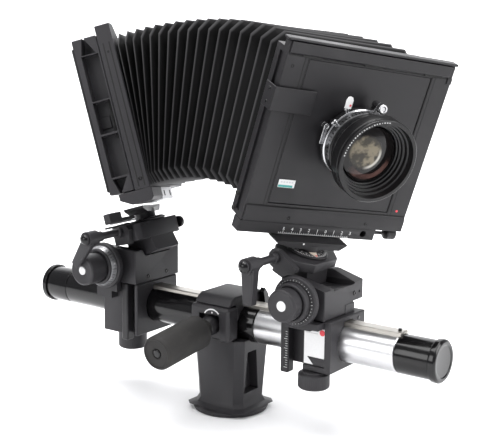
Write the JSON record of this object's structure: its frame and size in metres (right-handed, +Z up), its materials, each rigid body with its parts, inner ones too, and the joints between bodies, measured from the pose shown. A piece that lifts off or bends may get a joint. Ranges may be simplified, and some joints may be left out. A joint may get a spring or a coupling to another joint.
{
  "type": "large-format view camera",
  "caption": "Large-format bellows view camera whose tilting and swinging standards ride a round rail on a short column stand.",
  "frame": {"origin": "centre of the foot's underside, on the column's turning axis", "axes": "+Z up, out of the floor; +Y along the rail, from the lens end to the film end; -X is the side of the knobs and the clamp grip"},
  "size_m": [0.2666, 0.5246, 0.4172],
  "materials": {
    "black_casting": "fine crackle black paint",
    "black_anodised": "satin black",
    "black_gloss": "gloss black",
    "black_rubber": "matt",
    "bellows_cloth": "grained leatherette",
    "satin_aluminium": "satin",
    "strip_metal": "warm grey satin",
    "bright_steel": "bright",
    "coated_glass": "coated"
  },
  "bodies": {
    "foot": {"foot_disc": "black_casting", "foot_insert": "bright_steel"},
    "column": {"column_casting": "black_casting", "clamp_body": "black_casting", "clamp_cap": "black_casting", "grip_collar": "black_anodised"},
    "grip": {"clamp_grip": "black_rubber"},
    "latch": {"clamp_latch": "black_gloss"},
    "rail": {"rail_main_tube": "black_gloss", "rail_extension_tube": "satin_aluminium", "rail_front_end": "black_gloss", "rail_rear_end": "black_gloss", "rail_front_cap": "black_gloss", "rail_rear_cap": "black_gloss", "rail_top_strip": "strip_metal"},
    "front_carriage": {"front_carrier": "black_casting"},
    "front_lock": {"front_lock_knob": "black_casting"},
    "front_focus": {"front_focus_knob": "black_casting"},
    "front_rise": {"front_rise_knob": "black_casting"},
    "front_lift": {"front_tilt_bed": "black_casting", "front_scale_rod": "black_anodised"},
    "front_tilt": {"front_cradle": "black_casting", "front_swing_dial": "black_anodised"},
    "front_lever": {"front_lever_shaft": "black_anodised", "front_clamp_lever": "black_casting"},
    "front_swing": {"front_swing_post": "black_anodised"},
    "rear_carriage": {"rear_carrier": "black_casting"},
    "rear_lock": {"rear_lock_knob": "black_casting"},
    "rear_focus": {"rear_focus_knob": "black_casting"},
    "rear_rise": {"rear_rise_knob": "black_casting"},
    "rear_lift": {"rear_tilt_bed": "black_casting", "rear_scale_rod": "black_anodised"},
    "rear_tilt": {"rear_cradle": "black_casting", "rear_swing_dial": "black_anodised"},
    "rear_lever": {"rear_lever_shaft": "black_anodised", "rear_clamp_lever": "black_casting"},
    "rear_swing": {"rear_swing_post": "black_anodised"},
    "lens_frame": {"lens_frame": "black_anodised", "frame_top_lip": "black_anodised", "lens_shift_plate": "black_anodised", "finder_bracket": "black_anodised", "lens_board": "black_anodised", "shutter_housing": "black_anodised", "front_lens_barrel": "black_gloss", "front_lens_glass": "coated_glass", "rear_lens_barrel": "black_gloss", "rear_lens_glass": "coated_glass", "iris_blades": "black_anodised"},
    "shift_knob": {"lens_shift_knob": "black_anodised"},
    "speed_ring": {"shutter_speed_ring": "black_anodised"},
    "aperture": {"aperture_lever": "bright_steel"},
    "cocking": {"cocking_lever": "bright_steel"},
    "film_frame": {"format_frame": "black_casting", "film_back": "black_casting", "film_shift_bar": "satin_aluminium", "bellows": "bellows_cloth"},
    "focusing_screen": {"glass_holder": "black_anodised", "ground_glass": "coated_glass"}
  },
  "joints": [
    {"name": "column_pan", "type": "hinge", "parent": "foot", "child": "column", "pos_m": [0, 0, 0.006], "axis": [0, 0, 1], "continuous": true},
    {"name": "grip_turn", "type": "hinge", "parent": "column", "child": "grip", "pos_m": [-0.0336, 0, 0.1005], "axis": [-0.9936, 0, -0.1132], "range_deg": [-120, 60]},
    {"name": "latch_turn", "type": "hinge", "parent": "column", "child": "latch", "pos_m": [0.026, -0.0238, 0.112], "axis": [0, 1, 0], "range_deg": [-30, 14]},
    {"name": "rail_slide", "type": "slide", "parent": "column", "child": "rail", "axis": [0, 1, 0], "range_m": [-0.03, 0.03]},
    {"name": "front_carriage_slide", "type": "slide", "parent": "rail", "child": "front_carriage", "axis": [0, 1, 0], "range_m": [-0.055, 0.012]},
    {"name": "front_lock_turn", "type": "hinge", "parent": "front_carriage", "child": "front_lock", "pos_m": [-0.028, -0.125, 0.0727], "axis": [0, 0, 1], "range_deg": [-90, 180]},
    {"name": "front_focus_turn", "type": "hinge", "parent": "front_carriage", "child": "front_focus", "pos_m": [-0.0463, -0.1155, 0.1475], "axis": [1, 0, 0], "range_deg": [-1000, 1000]},
    {"name": "front_rise_turn", "type": "hinge", "parent": "front_carriage", "child": "front_rise", "pos_m": [-0.0463, -0.1155, 0.1475], "axis": [1, 0, 0], "range_deg": [-1000, 1000]},
    {"name": "front_lift_slide", "type": "slide", "parent": "front_carriage", "child": "front_lift", "axis": [0, 0, 1], "range_m": [0, 0.04]},
    {"name": "front_tilt_turn", "type": "hinge", "parent": "front_lift", "child": "front_tilt", "pos_m": [0, -0.1155, 0.25], "axis": [1, 0, 0], "range_deg": [-30, 6]},
    {"name": "front_lever_turn", "type": "hinge", "parent": "front_tilt", "child": "front_lever", "pos_m": [-0.0431, -0.08528, 0.18597], "axis": [1, 0, 0], "range_deg": [-25, 50]},
    {"name": "front_swing_turn", "type": "hinge", "parent": "front_tilt", "child": "front_swing", "pos_m": [0, -0.1155, 0.25], "axis": [0, -0.3057, 0.9521], "range_deg": [-8, 40]},
    {"name": "rear_carriage_slide", "type": "slide", "parent": "rail", "child": "rear_carriage", "axis": [0, 1, 0], "range_m": [-0.03, 0.055]},
    {"name": "rear_lock_turn", "type": "hinge", "parent": "rear_carriage", "child": "rear_lock", "pos_m": [-0.009, 0.1345, 0.0677], "axis": [0, 0, 1], "range_deg": [-90, 180]},
    {"name": "rear_focus_turn", "type": "hinge", "parent": "rear_carriage", "child": "rear_focus", "pos_m": [-0.0463, 0.14, 0.1475], "axis": [1, 0, 0], "range_deg": [-1000, 1000]},
    {"name": "rear_rise_turn", "type": "hinge", "parent": "rear_carriage", "child": "rear_rise", "pos_m": [-0.0463, 0.14, 0.1475], "axis": [1, 0, 0], "range_deg": [-1000, 1000]},
    {"name": "rear_lift_slide", "type": "slide", "parent": "rear_carriage", "child": "rear_lift", "axis": [0, 0, 1], "range_m": [0, 0.04]},
    {"name": "rear_tilt_turn", "type": "hinge", "parent": "rear_lift", "child": "rear_tilt", "pos_m": [0, 0.14, 0.25], "axis": [1, 0, 0], "range_deg": [-6, 30]},
    {"name": "rear_lever_turn", "type": "hinge", "parent": "rear_tilt", "child": "rear_lever", "pos_m": [-0.0431, 0.12296, 0.18611], "axis": [1, 0, 0], "range_deg": [-60, 20]},
    {"name": "rear_swing_turn", "type": "hinge", "parent": "rear_tilt", "child": "rear_swing", "pos_m": [0, 0.14, 0.25], "axis": [0, 0.3156, 0.9489], "range_deg": [-40, 8]},
    {"name": "lens_shift", "type": "slide", "parent": "front_swing", "child": "lens_frame", "axis": [0.8829, -0.447, -0.1435], "range_m": [-0.03, 0.012], "deforming": ["bellows"]},
    {"name": "shift_knob_turn", "type": "hinge", "parent": "lens_frame", "child": "shift_knob", "pos_m": [0.07409, -0.12875, 0.19943], "axis": [0.8829, -0.447, -0.1435], "range_deg": [-1000, 1000]},
    {"name": "speed_ring_turn", "type": "hinge", "parent": "lens_frame", "child": "speed_ring", "pos_m": [0.01227, -0.13602, 0.3037], "axis": [-0.4695, -0.8407, -0.2699], "range_deg": [-150, 150]},
    {"name": "aperture_turn", "type": "hinge", "parent": "lens_frame", "child": "aperture", "pos_m": [0.01227, -0.13602, 0.3037], "axis": [-0.4695, -0.8407, -0.2699], "range_deg": [-12, 70]},
    {"name": "cocking_turn", "type": "hinge", "parent": "lens_frame", "child": "cocking", "pos_m": [0.01227, -0.13602, 0.3037], "axis": [-0.4695, -0.8407, -0.2699], "range_deg": [0, 35], "stiffness_Nm_per_rad": 0.02, "springref_deg": -28.65},
    {"name": "film_shift", "type": "slide", "parent": "rear_swing", "child": "film_frame", "axis": [0.8829, 0.4455, -0.1482], "range_m": [-0.025, 0.025]},
    {"name": "focusing_screen_slide", "type": "slide", "parent": "film_frame", "child": "focusing_screen", "axis": [-0.4695, 0.8378, -0.2787], "range_m": [0, 0.005], "stiffness_N_per_m": 600, "springref_m": -0.01}
  ],
  "couplings": [
    {"joint": "front_focus_turn", "follows": "front_carriage_slide", "rad_per_m": 250},
    {"joint": "front_rise_turn", "follows": "front_lift_slide", "rad_per_m": 250},
    {"joint": "rear_focus_turn", "follows": "rear_carriage_slide", "rad_per_m": 250},
    {"joint": "rear_rise_turn", "follows": "rear_lift_slide", "rad_per_m": 250},
    {"joint": "shift_knob_turn", "follows": "lens_shift", "rad_per_m": 250}
  ]
}
